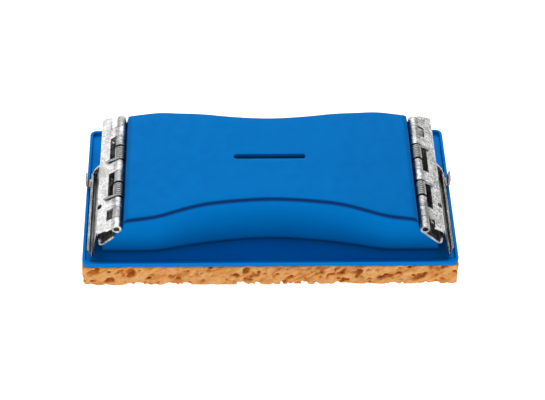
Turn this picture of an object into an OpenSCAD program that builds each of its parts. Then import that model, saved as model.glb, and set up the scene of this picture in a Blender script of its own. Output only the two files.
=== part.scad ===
// Chalkboard eraser: a hollow waisted grip screwed to a rimmed base tray, a
// cellulose sponge glued under it, and a sprung sheet-metal clamp at each end
// that pinches a wiping cloth down into the tray.
// Units are millimetres. Origin: centre of the sponge's underside, Z up,
// X along the length, +Y towards the rear long side.

/* [Base] */
// Length of the base tray
base_l = 165; // [160:1:180]
// Width of the base tray
base_w = 85; // [82:1:95]
// Height of the base tray, underside to rim top
base_h = 2.4; // [2.3:0.1:3.2]
// Thickness of the tray floor
floor_t = 1; // [0.8:0.1:1]
// Thickness of the tray's raised rim
rim_t = 1.4; // [1.2:0.1:1.6]
// Plan radius of the tray corners
corner_r = 3; // [2:0.5:6]

/* [Sponge] */
// Thickness of the sponge pad
sponge_t = 11.8; // [8:0.2:20]
// How far the sponge stands out past the tray on each side
sponge_over = 0.3; // [0:0.1:1]
// Thickness of the adhesive sheet
glue_t = 0.2; // [0.1:0.1:0.6]

/* [Grip] */
// Height of the grip's flat middle above the rim top
grip_h = 23.2; // [22:0.1:26]
// Half width of the grip's waist at its top edge
waist_y = 26.6; // [22:0.1:29]
// Half width of the grip's ends at their top edge
end_y = 34.1; // [31:0.1:34.5]
// Radius of the grip's long top edges
edge_r = 2; // [1:0.1:2.5]
// Wall thickness of the grip shell
wall_t = 2.4; // [2.2:0.1:2.6]
// Length of the hanging slot
slot_l = 31.6; // [20:0.2:40]
// Width of the hanging slot
slot_w = 2.4; // [2:0.1:4]

/* [Clamps] */
// Thickness of the clamp sheet metal
sheet_t = 0.9; // [0.7:0.05:1]
// Radius of the hinge pin
pin_r = 1.2; // [1:0.05:1.3]
// Wire diameter of the clamp springs
wire_d = 1.05; // [0.8:0.05:1.1]

/* [Hidden] */
$fn = 48;
eps = 0.01;
// Levels. A height named h is measured from the rim top, a z from the origin.
base_z = sponge_t + glue_t;
rim_z = base_z + base_h;
floor_z = base_z + floor_t;
foot_h = floor_z - rim_z;         // the grip's foot, a negative h

// Hinge, right clamp
pin_x = base_l / 2 - 15.5;
pin_h = 14.2;
bore_r = pin_r + 0.05;            // knuckle bore
knuckle_r = bore_r + sheet_t;     // knuckle outside
mid_r = bore_r + sheet_t / 2;     // sheet centreline's distance from the pin axis
hinge_y = -0.8;                   // middle of both hinges
hinge_half = 35.7;                // half length of a hinge
facet_angle = 43;                 // slope of the grip's end facet
plate_angle = 34;                 // slope of the jaw's top plate
facet_gap = knuckle_r + 0.03;     // facet plane's distance under the pin axis
rivet_y = [-24, 0, 24];
rivet_t = 7.6;                    // rivets' place down the facet
rivet_hole_r = 1.6;
spring_y = 11.7;                  // middle of each spring, either side of the hinge's
leg_y = 3.7;                      // spring legs, either side of the spring's middle

// Base screws
screw_x = 45;
screw_y = 18;

// [x, h] of a point t outwards and down a slope through the pin axis, s out of it
function from_pin(angle, t, s) =
    [pin_x + cos(angle) * t + sin(angle) * s, pin_h - sin(angle) * t + cos(angle) * s];
function facet_pt(t, s) = from_pin(facet_angle, t, s);
function plate_pt(t, s) = from_pin(plate_angle, t, s);

// ---------- helpers ----------
// skins a row of closed sections that all have the same number of points
module loft(sections, convexity = 6) {
    n = len(sections[0]);
    last = len(sections) - 1;
    polyhedron(
        points = [for (s = sections) for (p = s) p],
        faces = concat(
            [[for (k = [0:n - 1]) k]],
            [for (j = [0:last - 1]) for (k = [0:n - 1])
                [j * n + k, (j + 1) * n + k, (j + 1) * n + (k + 1) % n, j * n + (k + 1) % n]],
            [[for (k = [n - 1:-1:0]) last * n + k]]),
        convexity = convexity);
}

module screw_spots() {
    for (x = [-screw_x, screw_x]) for (y = [-screw_y, screw_y])
        translate([x, y, 0]) children();
}

// puts +Z on the right facet's outward normal, origin on the facet plane at t, y
module on_facet(t, y) {
    p = facet_pt(t, -facet_gap);
    translate([p[0], y, p[1] + rim_z]) rotate([0, facet_angle, 0]) children();
}

// place parts drawn about the middle of the hinge, at the right or left end
module at_hinge() {
    translate([0, hinge_y, 0]) children();
}
module at_hinge_turned() {
    at_hinge() rotate([0, 0, 180]) children();
}
module at_hinge_mirrored() {
    at_hinge() mirror([1, 0, 0]) children();
}

// ---------- grip ----------
top_x = pin_x - 3;                // half length of the grip's top
facet_x = pin_x - 2.3;            // top of the end facet
foot_x = pin_x + 7.1;             // end of the grip's foot
foot_in = 1.2;                    // how far the foot is drawn in
draft = 0.5;                      // how far the wall spreads from top to foot
roof_flat_x = 24.5;               // end of the roof's level middle
roof_slope_x = 36.5;              // start of its straight slope
roof_slope = 0.165;
bow_x = 45;                       // the waist curve stops steepening here
bow_end_x = 54.4;                 // and is level from here on
bow_slope = 0.0329;               // its slope at bow_x
bow_mid = 0.8464;                 // its value at bow_x

// waist curve, 0 in the middle to 1 at the ends
function bow(x) = let (a = abs(x), past = a - bow_x)
    a <= bow_x ? pow(a / 49.5, 1.75)
    : a < bow_end_x
        ? bow_mid + bow_slope * past - bow_slope * past * past / (2 * (bow_end_x - bow_x))
    : 1;
function roof(x) = let (a = abs(x), past = a - roof_flat_x)
    grip_h - (a <= roof_flat_x ? 0
        : a < roof_slope_x
            ? roof_slope * past * past / (2 * (roof_slope_x - roof_flat_x))
        : roof_slope * (a - (roof_flat_x + roof_slope_x) / 2));
// half width of the wall at height h
function wall_y(x, h) = waist_y + (end_y - waist_y) * bow(x)
    + draft * (1 - (h - foot_h) / (grip_h - foot_h));
// h at x on the facet plane, lowered by drop along its normal
function facet_h(x, drop = 0) =
    pin_h - (facet_gap + drop + (x - pin_x) * sin(facet_angle)) / cos(facet_angle);

// +Y half of a cross section, foot to top, as [y, h]
function half_section(x, top, edge, inset, bottom, foot) =
    let (y = wall_y(x, bottom) - inset)
    concat(
        foot > 0 ? [[y - foot, bottom], [y - 0.3 * foot, bottom + 0.65 * foot],
                    [y, bottom + 1.5 * foot]]
            : [[y, bottom]],
        [for (a = [0:22.5:90])
            [wall_y(x, top) - inset - edge + edge * cos(a), top - edge + edge * sin(a)]]);
// closed section; station is [x, top height, edge radius]
function section(station, inset, bottom, foot = 0) =
    let (x = station[0], s = half_section(x, station[1], station[2], inset, bottom, foot))
    concat([for (p = s) [x, p[0], p[1] + rim_z]],
           [for (k = [len(s) - 1:-1:0]) [x, -s[k][0], s[k][1] + rim_z]]);

// stations of the right half, from x = 0: [x, top height, edge radius]
outer_stations = concat(
    [for (x = [0:4:60]) [x, roof(x), edge_r]],
    [[top_x - 1.1, roof(top_x - 1.1), edge_r],
     [top_x - 0.5, roof(top_x) - 0.15, edge_r],
     [top_x - 0.15, roof(top_x) - 0.5, edge_r * 0.9],
     [top_x, roof(top_x) - 1.1, edge_r * 0.8],
     [facet_x, facet_h(facet_x), 0.9],
     [foot_x - 0.5, facet_h(foot_x - 0.5), 0.9],
     [foot_x - 0.12, facet_h(foot_x - 0.12) - 0.3, 0.8],
     [foot_x, facet_h(foot_x) - 0.9, 0.6]]);
inner_edge_r = 0.8;
inner_top_x = top_x - wall_t;
inner_facet_x = facet_x - wall_t * 0.95;
inner_foot_x = foot_x - wall_t;
inner_stations = concat(
    [for (x = [0:5:55]) [x, roof(x) - wall_t, inner_edge_r]],
    [[inner_top_x, roof(inner_top_x) - wall_t, inner_edge_r],
     [inner_facet_x, facet_h(inner_facet_x, wall_t), inner_edge_r],
     [inner_foot_x, facet_h(inner_foot_x, wall_t), inner_edge_r]]);
// adds the left half
function both_halves(s) =
    concat([for (k = [len(s) - 1:-1:1]) [-s[k][0], s[k][1], s[k][2]]], s);

module grip_outer() {
    loft([for (s = both_halves(outer_stations)) section(s, 0, foot_h, foot_in)]);
}
module grip_inner() {
    loft([for (s = both_halves(inner_stations)) section(s, wall_t * 0.92, foot_h - 1)]);
}

module hanging_slot() {
    round_x = (slot_l - slot_w) / 2;
    translate([0, 0.5, rim_z + grip_h - 8]) {
        translate([-round_x, -slot_w / 2, 0]) cube([2 * round_x, slot_w, 20]);
        for (x = [-round_x, round_x]) translate([x, 0, 0]) cylinder(d = slot_w, h = 20);
    }
}

// hollows in the right facet for the two springs
module spring_relief() {
    pocket_w = 9.9;
    groove_w = 1.6;
    for (y = [-spring_y, spring_y]) {
        // pocket under the coil
        on_facet(0, y) translate([-2.9, -pocket_w / 2, -0.45]) cube([6, pocket_w, 3]);
        // groove under the leg on the fixed leaf
        on_facet(0, y - leg_y) translate([-0.8, -groove_w / 2, -1.3]) cube([9, groove_w, 2]);
    }
}

module facet_rivet_holes() {
    for (y = rivet_y) on_facet(rivet_t, y) translate([0, 0, -5])
        cylinder(r = rivet_hole_r, h = 8);
}

module grip_shell() {
    rib_x = 28;
    rib_t = 1.5;
    color([0, 0.45, 0.75]) difference() {
        union() {
            difference() {
                grip_outer();
                grip_inner();
            }
            // cross ribs and screw bosses under the roof
            intersection() {
                grip_outer();
                union() {
                    for (x = [-rib_x, rib_x]) translate([x - rib_t / 2, -40, floor_z + 6])
                        cube([rib_t, 80, 40]);
                    screw_spots() translate([0, 0, floor_z + 1.4]) cylinder(r = 3.6, h = 40);
                }
            }
        }
        hanging_slot();
        // pilot holes
        screw_spots() translate([0, 0, floor_z + 1]) cylinder(r = 1.3, h = 10);
        at_hinge() {
            facet_rivet_holes();
            spring_relief();
        }
        at_hinge_mirrored() facet_rivet_holes();
        at_hinge_turned() spring_relief();
    }
}

// ---------- base, screws, sponge ----------
screw_hole_r = 1.6;
shank_r = 1.25;
shank_l = 10;                     // screw without its tip

// rectangle with rounded corners
module plate2d(l, w, r) {
    square([l - 2 * r, w], center = true);
    square([l, w - 2 * r], center = true);
    for (x = [-1, 1]) for (y = [-1, 1])
        translate([x * (l / 2 - r), y * (w / 2 - r)]) circle(r = r);
}

module base_tray() {
    color([0, 0.42, 0.72]) difference() {
        union() {
            difference() {
                translate([0, 0, base_z]) linear_extrude(base_h)
                    plate2d(base_l, base_w, corner_r);
                translate([0, 0, floor_z]) linear_extrude(base_h)
                    plate2d(base_l - 2 * rim_t, base_w - 2 * rim_t, corner_r - rim_t + 0.2);
            }
            // raised pads round the screws
            screw_spots() translate([0, 0, floor_z - eps]) cylinder(r = 5, h = 1.25);
        }
        // countersunk holes
        screw_spots() {
            translate([0, 0, base_z - 1]) cylinder(r = screw_hole_r, h = 6);
            translate([0, 0, base_z - eps]) cylinder(r1 = 2.95, r2 = screw_hole_r, h = 1.6);
        }
    }
}

module base_screws() {
    color([0.75, 0.75, 0.78]) screw_spots() translate([0, 0, base_z]) difference() {
        union() {
            cylinder(r = shank_r, h = shank_l);
            translate([0, 0, shank_l]) cylinder(r1 = shank_r, r2 = 0.3, h = 1.2);
            cylinder(r1 = 2.8, r2 = shank_r, h = 1.75);
        }
        // cross recess
        for (a = [0, 90]) rotate([0, 0, a]) translate([-1.5, -0.25, -eps]) cube([3, 0.5, 1]);
    }
}

module adhesive_sheet() {
    color([0.9, 0.88, 0.8]) translate([0, 0, sponge_t]) linear_extrude(glue_t)
        plate2d(base_l - 3, base_w - 3, 2.5);
}

module sponge_pad() {
    color([0.87, 0.62, 0.37]) linear_extrude(sponge_t)
        plate2d(base_l + 2 * sponge_over, base_w + 2 * sponge_over, 2);
}

// ---------- bent sheet ----------
// extrudes an [x, h] outline between two Y stations
module slab(y0, y1) {
    translate([0, y1, rim_z]) rotate([90, 0, 0]) linear_extrude(y1 - y0) children();
}
// cylinder on the pin axis between two Y stations
module pin_rod(r, y0, y1) {
    translate([pin_x, y1, pin_h + rim_z]) rotate([90, 0, 0]) cylinder(r = r, h = y1 - y0);
}

function unit(v) = v / norm(v);

// rounds the inner corners of a polyline with arcs of radius r, less where a
// segment is too short for it
arc_steps = 4;
function rounded(path, r) = concat([path[0]], [for (i = [1:len(path) - 2])
    let (corner = path[i],
         back = path[i - 1] - corner,
         ahead = path[i + 1] - corner,
         a = unit(back),
         b = unit(ahead),
         half = acos(a * b) / 2,
         fit_r = min(r, 0.45 * min(norm(back), norm(ahead)) * tan(half)),
         centre = corner + unit(a + b) * fit_r / sin(half),
         from = corner + a * fit_r / tan(half) - centre,
         to = corner + b * fit_r / tan(half) - centre,
         start = atan2(from[1], from[0]),
         turn = atan2(to[1], to[0]) - start,
         sweep = turn > 180 ? turn - 360 : turn < -180 ? turn + 360 : turn)
    for (k = [0:arc_steps])
        let (angle = start + sweep * k / arc_steps) centre + fit_r * [cos(angle), sin(angle)]],
    [path[len(path) - 1]]);

// mitred offset to the left of a polyline at point i, for unit distance
function left_of(path, i) =
    let (before = i > 0 ? unit(path[i] - path[i - 1]) : [0, 0],
         after = i < len(path) - 1 ? unit(path[i + 1] - path[i]) : [0, 0],
         along = unit(after + before))
    [-along[1], along[0]] / max(0.3, along * (i > 0 ? before : along));
// outline of a sheet whose centreline is path
function sheet(path) = concat(
    [for (i = [0:len(path) - 1]) path[i] + left_of(path, i) * sheet_t / 2],
    [for (i = [len(path) - 1:-1:0]) path[i] - left_of(path, i) * sheet_t / 2]);

// ---------- hinge ----------
// knuckles, front to rear: [front y, rear y] from the hinge's middle
knuckle_y = [[-35.7, -29.2], [-29, -23], [-22.8, -16.8], [-6.6, -0.1],
             [0.1, 6.6], [16.8, 22.8], [23, 29], [29.2, 35.7]];
even_ids = [0, 2, 4, 6];
odd_ids = [1, 3, 5, 7];

// y range of knuckle i, cut off at half from the hinge's middle
function knuckle_span(i, half) = [max(-half, knuckle_y[i][0]), min(half, knuckle_y[i][1])];

module knuckles(ids, half) {
    for (i = ids) difference() {
        span = knuckle_span(i, half);
        pin_rod(knuckle_r, span[0], span[1]);
        pin_rod(bore_r, knuckle_y[i][0] - 1, knuckle_y[i][1] + 1);
    }
}
// joins knuckles to their leaf with an [x, h] outline
module knuckle_straps(ids, half, outline) {
    for (i = ids) {
        span = knuckle_span(i, half);
        slab(span[0], span[1]) polygon(outline);
    }
}

module hinge_pin() {
    color([0.6, 0.6, 0.62]) pin_rod(pin_r, -hinge_half + 1.5, hinge_half - 1.5);
}

// ---------- fixed leaf and its rivets ----------
bend_r = 0.9;
leaf_strap = [facet_pt(0, -knuckle_r), facet_pt(4, -knuckle_r),
              facet_pt(4, -bore_r), facet_pt(0, -bore_r)];
// down the facet, the foot turned up into a stiffening flange
leaf_path = rounded([facet_pt(3.5, -mid_r), facet_pt(12.05, -mid_r), [pin_x + 7.65, 8.8]],
    bend_r);

module fixed_leaf() {
    color([0.72, 0.72, 0.74]) union() {
        knuckles(even_ids, hinge_half);
        difference() {
            union() {
                knuckle_straps(even_ids, hinge_half, leaf_strap);
                slab(-hinge_half, hinge_half) polygon(sheet(leaf_path));
            }
            for (y = rivet_y) on_facet(rivet_t, y) translate([0, 0, -1])
                cylinder(r = rivet_hole_r, h = 4);
        }
    }
}

// heights on the facet's normal
leaf_top = facet_gap - bore_r;    // outer face of the fixed leaf
washer_z = -wall_t - 0.7;         // underside of the washer
tail_top = washer_z - 0.05;       // shoulder of the rivet's tail
tail_h = 0.8;
rivet_r = 1.5;
// rivet ends as [radius, height]
rivet_head = [[0, 0], [2.4, 0], [2.3, 0.35], [1.9, 0.65], [1.2, 0.85], [0, 0.95]];
rivet_tail = [[0, 0], [1.7, 0], [2.2, 0.35], [2.2, tail_h - eps], [rivet_r, tail_h - eps],
              [rivet_r, tail_h + 0.05], [0, tail_h + 0.05]];

module leaf_rivets() {
    color([0.62, 0.62, 0.64]) for (y = rivet_y) on_facet(rivet_t, y) {
        translate([0, 0, tail_top]) cylinder(r = rivet_r, h = leaf_top - tail_top + eps);
        // domed head on the leaf
        translate([0, 0, leaf_top + eps]) rotate_extrude() polygon(rivet_head);
        // upset tail on the washer
        translate([0, 0, tail_top - tail_h]) rotate_extrude() polygon(rivet_tail);
    }
}

module rivet_washers() {
    color([0.66, 0.66, 0.68]) for (y = rivet_y) on_facet(rivet_t, y)
        translate([0, 0, washer_z]) difference() {
            cylinder(r = 3, h = 0.65);
            translate([0, 0, -1]) cylinder(r = 1.55, h = 3);
        }
}

// ---------- jaw ----------
jaw_front = -37.2;                // front end of the lip, Y
jaw_rear = 38;                    // rear corner of the plate, Y
lip_rear = 9.8;                   // rear end of the lip, Y
jaw_half = 34.6;                  // half length of the jaw's row of knuckles
notch_t = 4.2;                    // reach of the plate's notches between knuckles
outer_x = pin_x + 16;             // clear of the whole jaw

plate_start = plate_pt(notch_t, mid_r);
fold = plate_pt(9.3, mid_r);      // outer edge of the top plate
trough = [pin_x + 11.4, -0.7];    // bottom of the trough-shaped lip
lip_top = [pin_x + 12.85, 3.7];   // free edge of the lip
// sheet centrelines as [x, h]
lip_path = rounded([plate_start, fold, trough, lip_top], bend_r);
apron_path = rounded([plate_start, fold, [pin_x + 9.3, 2]], bend_r);
tab_path = rounded([[pin_x + 12.3, 2.2], [pin_x + 13.45, 1.35], [pin_x + 15.05, 1.5],
                    [pin_x + 15.3, 6.2]], 1.1);
// plan outlines as [x, y] that trim the two lengths of sheet
apron_plan = [[pin_x, 7], [outer_x, 7], [outer_x, jaw_rear], [pin_x + 8.2, jaw_rear],
              [pin_x + 4.6, 36.5], [pin_x, 34.4]];
lip_plan = [[pin_x, lip_rear], [pin_x, hinge_y - jaw_half], [pin_x + 8.7, jaw_front + 3],
            [trough[0] - 0.2, jaw_front - 2], [trough[0] + 0.5, jaw_front - 1.6],
            [lip_top[0] - 0.2, jaw_front], [outer_x, jaw_front], [outer_x, lip_rear]];

// sheet beside the knuckles, from t to just past the notches
function jaw_strap(t) = let (end = notch_t + 0.5)
    [plate_pt(t, bore_r), plate_pt(end, bore_r), plate_pt(end, knuckle_r),
     plate_pt(t, knuckle_r)];

// plate and plain apron at the rear, its end cut off at a slant
module jaw_apron(ids) {
    intersection() {
        union() {
            slab(8, jaw_rear + 1) polygon(sheet(apron_path));
            // the sheet runs on past the rearmost knuckle
            if (max(ids) == len(knuckle_y) - 1)
                slab(32, jaw_rear + 1) polygon(jaw_strap(1.4));
        }
        linear_extrude(60) polygon(apron_plan);
    }
}

// plate and trough-shaped lip at the front, pointed at its front end
module jaw_lip() {
    intersection() {
        slab(jaw_front - 3, lip_rear) polygon(sheet(lip_path));
        linear_extrude(60) polygon(lip_plan);
    }
    // wall that closes the trough at its rear end
    slab(lip_rear - sheet_t, lip_rear) polygon([fold, [pin_x + 11.9, 6.3], lip_top, trough]);
}

// swinging jaw of the right clamp; ids are its knuckles
module jaw_leaf(ids) {
    hole = plate_pt(8.6, 0);
    color([0.8, 0.8, 0.82]) difference() {
        union() {
            at_hinge() {
                knuckles(ids, jaw_half);
                knuckle_straps(ids, jaw_half, jaw_strap(0));
            }
            jaw_apron(ids);
            jaw_lip();
            // curled finger tab
            slab(3.3, 7.9) polygon(sheet(tab_path));
        }
        // small round hole on the fold
        translate([hole[0], -18.9, hole[1] + rim_z]) rotate([0, plate_angle, 0])
            cylinder(r = 1.4, h = 6);
    }
}

// ---------- torsion springs ----------
turns = 6;
coil_steps = 12 * turns + 5;
coil_r = pin_r + 0.15 + wire_d / 2;
jaw_rest = knuckle_r + wire_d / 2 + 0.05;     // jaw leg, out of the plate's slope
leaf_rest = -knuckle_r - wire_d / 2 - 0.06;   // leaf leg, out of the facet's slope

// direction of a straight leg tangent to the coil that ends at [x, h] point p
function leg_dir(p, side) = let (d = p - [pin_x, pin_h])
    atan2(d[1], d[0]) + side * asin(coil_r / norm(d));
// the jaw's leg leaves the coil's top, the fixed leaf's leg its underside
coil_start = leg_dir(plate_pt(notch_t - 0.3, jaw_rest), -1) + 90;
coil_end = leg_dir(facet_pt(3.3, leaf_rest), 1) + 270 + 360 * turns;

function at_y(p, y) = [p[0], y, p[1]];
// wire centreline from jaw leg (rear) to fixed-leaf leg (front), as [x, y, h]
wire_path = concat(
    [for (t = [5.7, (5.7 + notch_t + 0.3) / 2, notch_t + 0.3])
        at_y(plate_pt(t, jaw_rest), leg_y)],
    [at_y(plate_pt(notch_t - 0.45, jaw_rest) + [0, 0.01], leg_y)],
    [for (k = [0:coil_steps])
        let (u = k / coil_steps, a = coil_start + (coil_end - coil_start) * u)
        [pin_x + coil_r * cos(a), leg_y - 2 * leg_y * u, pin_h + coil_r * sin(a)]],
    [for (p = [facet_pt(3, leaf_rest + 0.04), facet_pt(3.8, leaf_rest),
               facet_pt(7.4, leaf_rest)]) at_y(p, -leg_y)]);

// round wire of diameter d along a path, as a prism with the given sides
module wire(path, d, sides) {
    last = len(path) - 1;
    loft([for (i = [0:last])
        let (along = unit(path[min(last, i + 1)] - path[max(0, i - 1)]),
             y_axis = [0, 1, 0],
             across = unit(y_axis - (y_axis * along) * along),
             up = cross(across, along))
        [for (k = [0:sides - 1]) let (a = 360 * k / sides)
            path[i] + d / 2 * (cos(a) * across + sin(a) * up)]],
        convexity = 10);
}

module clamp_spring(y) {
    color([0.5, 0.5, 0.52]) translate([0, y, rim_z]) wire(wire_path, wire_d, 6);
}

module right_fixed_leaf() { at_hinge() fixed_leaf(); }
module right_leaf_rivets() { at_hinge() leaf_rivets(); }
module right_rivet_washers() { at_hinge() rivet_washers(); }
module right_hinge_pin() { at_hinge() hinge_pin(); }
module right_spring_rear() { at_hinge() clamp_spring(spring_y); }
module right_spring_front() { at_hinge() clamp_spring(-spring_y); }
module right_jaw_leaf() { jaw_leaf(odd_ids); }
// the left fixed leaf and springs are the right ones turned half way round; the
// left jaw is mirrored so that both lips face the front
module left_fixed_leaf() { at_hinge_turned() fixed_leaf(); }
module left_leaf_rivets() { at_hinge_mirrored() leaf_rivets(); }
module left_rivet_washers() { at_hinge_mirrored() rivet_washers(); }
module left_hinge_pin() { at_hinge_mirrored() hinge_pin(); }
module left_spring_rear() { at_hinge_turned() clamp_spring(-spring_y); }
module left_spring_front() { at_hinge_turned() clamp_spring(spring_y); }
module left_jaw_leaf() { mirror([1, 0, 0]) jaw_leaf(even_ids); }

grip_shell();
base_tray();
base_screws();
adhesive_sheet();
sponge_pad();
left_fixed_leaf();
left_leaf_rivets();
left_rivet_washers();
left_hinge_pin();
left_spring_rear();
left_spring_front();
left_jaw_leaf();
right_fixed_leaf();
right_leaf_rivets();
right_rivet_washers();
right_hinge_pin();
right_spring_rear();
right_spring_front();
right_jaw_leaf();
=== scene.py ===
"""Chalkboard eraser: a hollow blue grip on a tray, a porous sponge sole and a sprung clamp at each end.

The eraser lies along X with its sole on the floor (Z = 0); right is +X, rear is +Y.
Sizes are in mm unless noted, and are turned into metres when a mesh is made.
"""

import math
from contextlib import contextmanager

import bmesh
import bpy
import numpy as np
from mathutils import Matrix, Vector

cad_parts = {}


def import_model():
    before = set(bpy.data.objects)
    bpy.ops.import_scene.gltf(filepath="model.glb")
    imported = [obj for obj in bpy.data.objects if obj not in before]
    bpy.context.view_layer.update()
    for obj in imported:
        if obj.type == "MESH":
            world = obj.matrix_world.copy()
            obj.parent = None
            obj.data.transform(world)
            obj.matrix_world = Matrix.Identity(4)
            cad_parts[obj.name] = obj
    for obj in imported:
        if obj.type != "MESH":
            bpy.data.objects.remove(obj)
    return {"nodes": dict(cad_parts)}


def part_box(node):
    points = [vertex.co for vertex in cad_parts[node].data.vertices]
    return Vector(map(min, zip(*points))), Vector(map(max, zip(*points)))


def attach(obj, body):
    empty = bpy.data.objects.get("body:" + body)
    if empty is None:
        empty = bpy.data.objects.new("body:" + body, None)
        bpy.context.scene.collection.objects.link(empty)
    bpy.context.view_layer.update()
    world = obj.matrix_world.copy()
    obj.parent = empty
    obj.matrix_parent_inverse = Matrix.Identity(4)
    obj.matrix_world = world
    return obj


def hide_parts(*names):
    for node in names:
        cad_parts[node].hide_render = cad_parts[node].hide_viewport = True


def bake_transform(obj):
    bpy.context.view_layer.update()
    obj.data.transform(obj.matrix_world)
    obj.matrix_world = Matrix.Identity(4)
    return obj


MM = 0.001
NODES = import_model()["nodes"]
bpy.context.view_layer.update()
scene = bpy.context.scene


# ---------------------------------------------------------------- sizes read from the frame
def box_mm(node):
    low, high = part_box(node)
    return np.array(low) / MM, np.array(high) / MM


tray_high = box_mm("base_tray")[1]
sponge_low, sponge_high = box_mm("sponge_pad")
glue_low, glue_high = box_mm("adhesive_sheet")
grip_low, grip_high = box_mm("grip_shell")
pin_low, pin_high = box_mm("right_hinge_pin")

# heights ending in _H are measured up from the tray's rim, those ending in _Z from the floor
RIM_Z = tray_high[2]
FOOT_Z = grip_low[2]
FOOT_H = FOOT_Z - RIM_Z
GRIP_H = grip_high[2] - RIM_Z
PIN_X = (pin_low[0] + pin_high[0]) / 2
PIN_Z = (pin_low[2] + pin_high[2]) / 2
PIN_H = PIN_Z - RIM_Z
PIN_R = (pin_high[0] - pin_low[0]) / 2
PIN_Y = (pin_low[1] + pin_high[1]) / 2  # middle of the hinge along Y
PIN_PLAY = 0.05
SHEET = 0.9  # thickness of the leaves
KNUCKLE_R = PIN_R + PIN_PLAY + SHEET


# ---------------------------------------------------------------- mesh helpers
def link(obj):
    scene.collection.objects.link(obj)
    return obj


def mesh_object(name, verts, faces, matrix=None):
    """Object from vertices in mm, moved by a 4x4 matrix in mm if one is given."""
    verts = np.asarray(verts, float)
    if matrix is not None:
        verts = verts @ matrix[:3, :3].T + matrix[:3, 3]
    mesh = bpy.data.meshes.new(name)
    mesh.from_pydata((verts * MM).tolist(), [], [list(map(int, face)) for face in faces])
    mesh.validate()
    mesh.update()
    return link(bpy.data.objects.new(name, mesh))


@contextmanager
def edit_mesh(obj):
    bm = bmesh.new()
    bm.from_mesh(obj.data)
    yield bm
    bm.to_mesh(obj.data)
    bm.free()


def face_outward(obj, smooth=False):
    with edit_mesh(obj) as bm:
        bmesh.ops.recalc_face_normals(bm, faces=bm.faces)
        for face in bm.faces:
            face.smooth = smooth


def smooth_below(obj, degrees):
    """Smooth shading with edges sharper than the angle kept sharp."""
    limit = math.radians(degrees)
    with edit_mesh(obj) as bm:
        for face in bm.faces:
            face.smooth = True
        for edge in bm.edges:
            edge.smooth = len(edge.link_faces) == 2 and edge.calc_face_angle(3.0) < limit


def bake_modifiers(obj):
    depsgraph = bpy.context.evaluated_depsgraph_get()
    mesh = bpy.data.meshes.new_from_object(obj.evaluated_get(depsgraph), depsgraph=depsgraph)
    old = obj.data
    obj.modifiers.clear()
    obj.data = mesh
    if old.users == 0:
        bpy.data.meshes.remove(old)


def boolean(obj, tool, operation="DIFFERENCE"):
    """Apply the tool object to obj and throw the tool away."""
    mod = obj.modifiers.new("cut", "BOOLEAN")
    mod.operation = operation
    mod.solver = "EXACT"
    mod.object = tool
    bake_modifiers(obj)
    bpy.data.objects.remove(tool)


def box_mesh(name, low, high, matrix=None):
    verts = [(x, y, z) for x in (low[0], high[0]) for y in (low[1], high[1])
             for z in (low[2], high[2])]
    faces = [(0, 1, 3, 2), (4, 6, 7, 5), (0, 4, 5, 1), (2, 3, 7, 6), (0, 2, 6, 4), (1, 5, 7, 3)]
    return mesh_object(name, verts, faces, matrix)


def ring_sides(n, rings):
    """Quads between neighbouring rings of n vertices."""
    return [(j * n + k, j * n + (k + 1) % n, (j + 1) * n + (k + 1) % n, (j + 1) * n + k)
            for j in range(rings - 1) for k in range(n)]


def ring_caps(n, rings):
    """Faces closing the first and the last ring."""
    return [list(range(n - 1, -1, -1)), [(rings - 1) * n + k for k in range(n)]]


def prism(name, outline, z0, z1, matrix=None):
    """Closed prism over an outline of (x, y) points."""
    n = len(outline)
    verts = [(x, y, z) for z in (z0, z1) for x, y in outline]
    return mesh_object(name, verts, ring_caps(n, 2) + ring_sides(n, 2), matrix)


def circle(cx, cy, radius, segments):
    angles = [2 * math.pi * k / segments for k in range(segments)]
    return [(cx + radius * math.cos(a), cy + radius * math.sin(a)) for a in angles]


def paint(obj, mat):
    obj.data.materials.clear()
    obj.data.materials.append(mat)


def stand_in(obj, node):
    """Let a part that moves with the block take a CAD node's place."""
    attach(obj, "block")
    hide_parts(node)


# ---------------------------------------------------------------- shader helpers
class Nodes:
    """Thin wrapper for building a node tree, shared by the materials and the world."""

    def __init__(self, owner):
        owner.use_nodes = True
        self.tree = owner.node_tree
        self.tree.nodes.clear()

    def set(self, socket, value):
        """Link a socket or store a value; colours may leave out their alpha."""
        if isinstance(value, bpy.types.NodeSocket):
            self.tree.links.new(value, socket)
        elif hasattr(value, "__len__") and len(value) == 3 and len(socket.default_value) == 4:
            socket.default_value = (*value, 1.0)
        else:
            socket.default_value = value

    def node(self, kind, inputs=None, **settings):
        node = self.tree.nodes.new("ShaderNode" + kind)
        for key, value in settings.items():
            setattr(node, key, value)
        for key, value in (inputs or {}).items():
            self.set(node.inputs[key], value)
        return node

    def math(self, operation, a, b=0.0):
        return self.node("Math", {0: a, 1: b}, operation=operation).outputs[0]

    def times(self, a, b):
        return self.math("MULTIPLY", a, b)

    def dot(self, a, b):
        return self.node("VectorMath", {0: a, 1: b}, operation="DOT_PRODUCT").outputs["Value"]

    def remap(self, value, span, to=(0.0, 1.0), ease="LINEAR"):
        """Carry the span of a value onto another, clamped at both ends."""
        inputs = {"From Min": span[0], "From Max": span[1], "To Min": to[0], "To Max": to[1],
                  "Value": value}
        return self.node("MapRange", inputs, interpolation_type=ease).outputs[0]


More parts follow.
